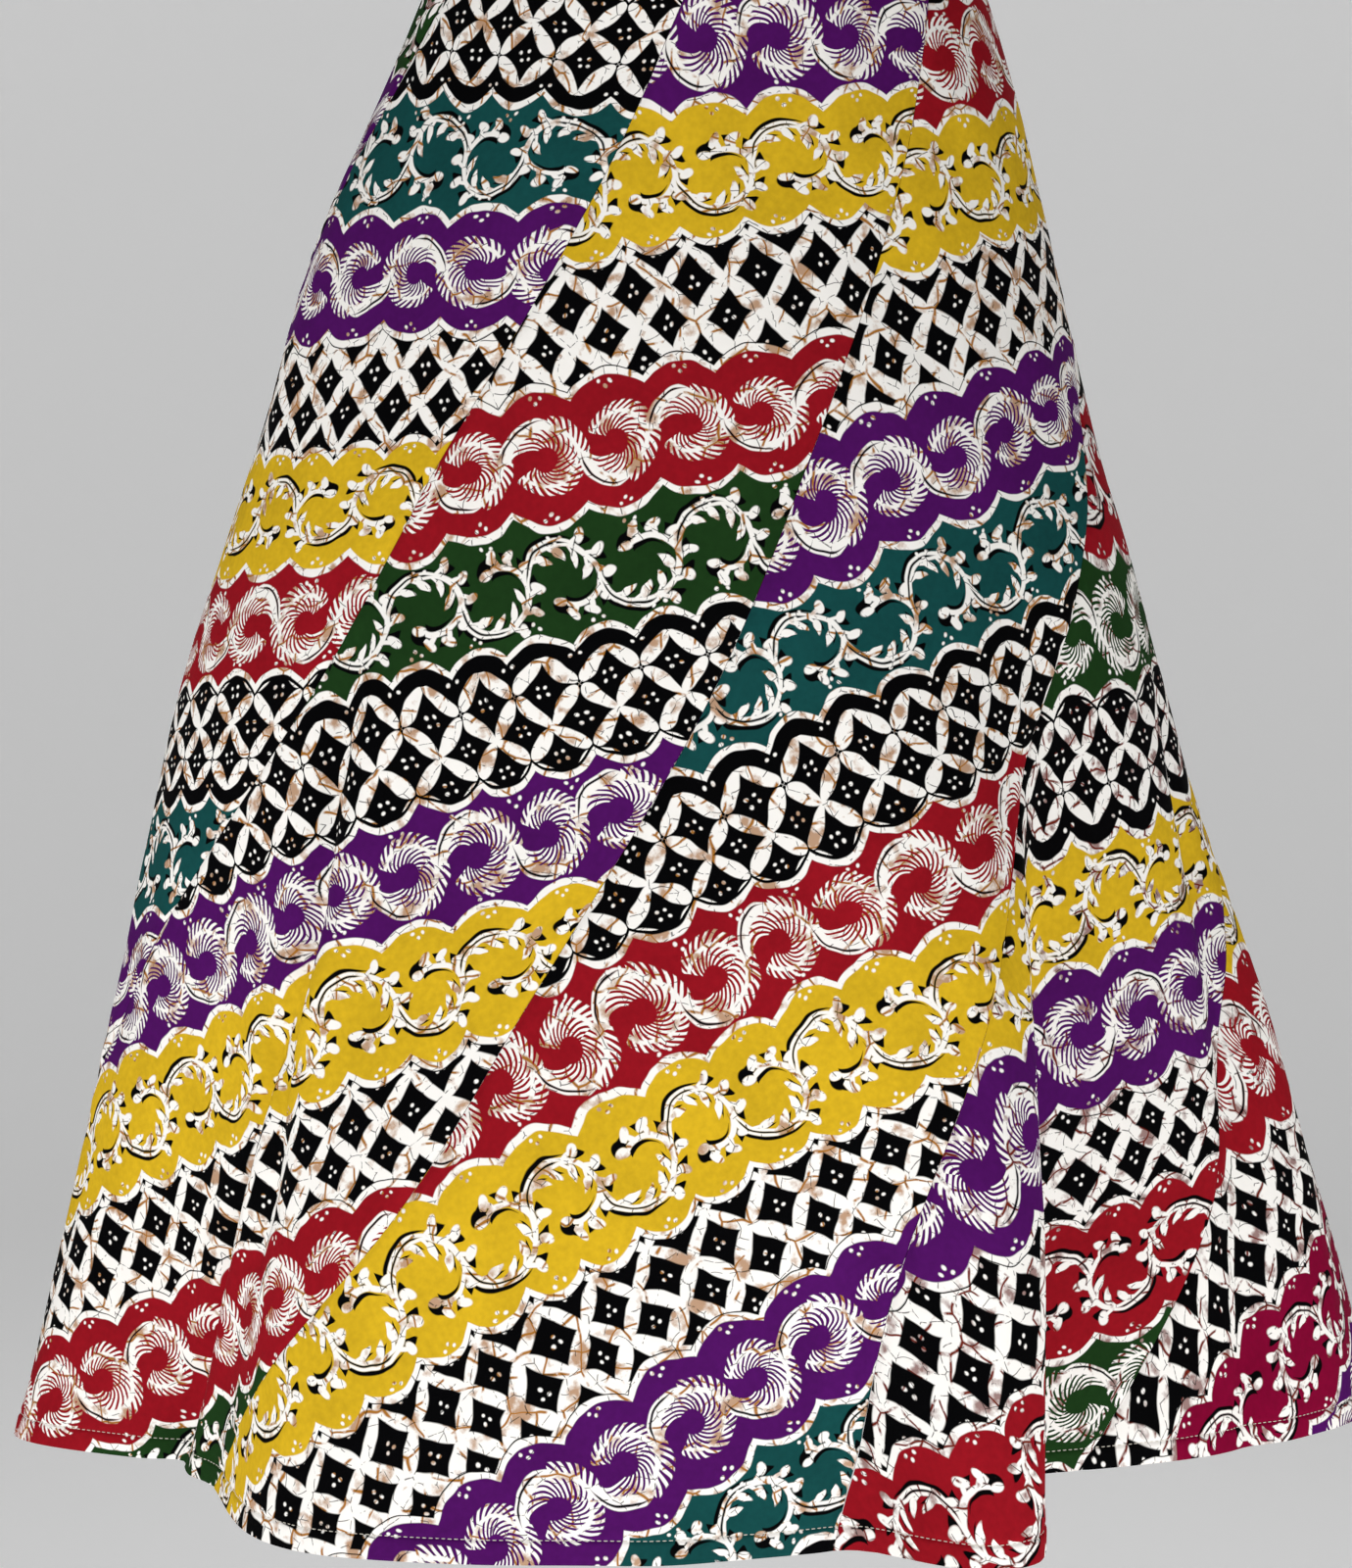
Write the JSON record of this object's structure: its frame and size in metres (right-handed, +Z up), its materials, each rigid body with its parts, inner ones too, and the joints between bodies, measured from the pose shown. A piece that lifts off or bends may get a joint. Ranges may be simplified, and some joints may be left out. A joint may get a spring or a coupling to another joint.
{
  "type": "batik skirt",
  "caption": "Long A-line skirt of spiral gores in striped batik cotton, open at waist and hem, with an elastic-backed waistband; filled out and hollow, as worn.",
  "frame": {"origin": "middle of the waist opening, half way up the waistband, where the wearer's waist holds the skirt", "axes": "+Z up the wearer's body, -Y towards the front, +X towards the viewer's right seen from the front"},
  "size_m": [0.7941, 0.5432, 0.9055],
  "materials": {
    "batik_cotton": "plain-weave cotton, wax-resist dyed in bands of red, yellow, purple, green, teal, black and white, matte with a slight sheen",
    "waistband_cotton": "the same cotton folded double, matte"
  },
  "bodies": {
    "root": {"gore_1": "batik_cotton", "gore_2": "batik_cotton", "gore_3": "batik_cotton", "gore_4": "batik_cotton", "gore_5": "batik_cotton", "gore_6": "batik_cotton", "waistband_front": "waistband_cotton", "waistband_back": "waistband_cotton"}
  },
  "joints": []
}
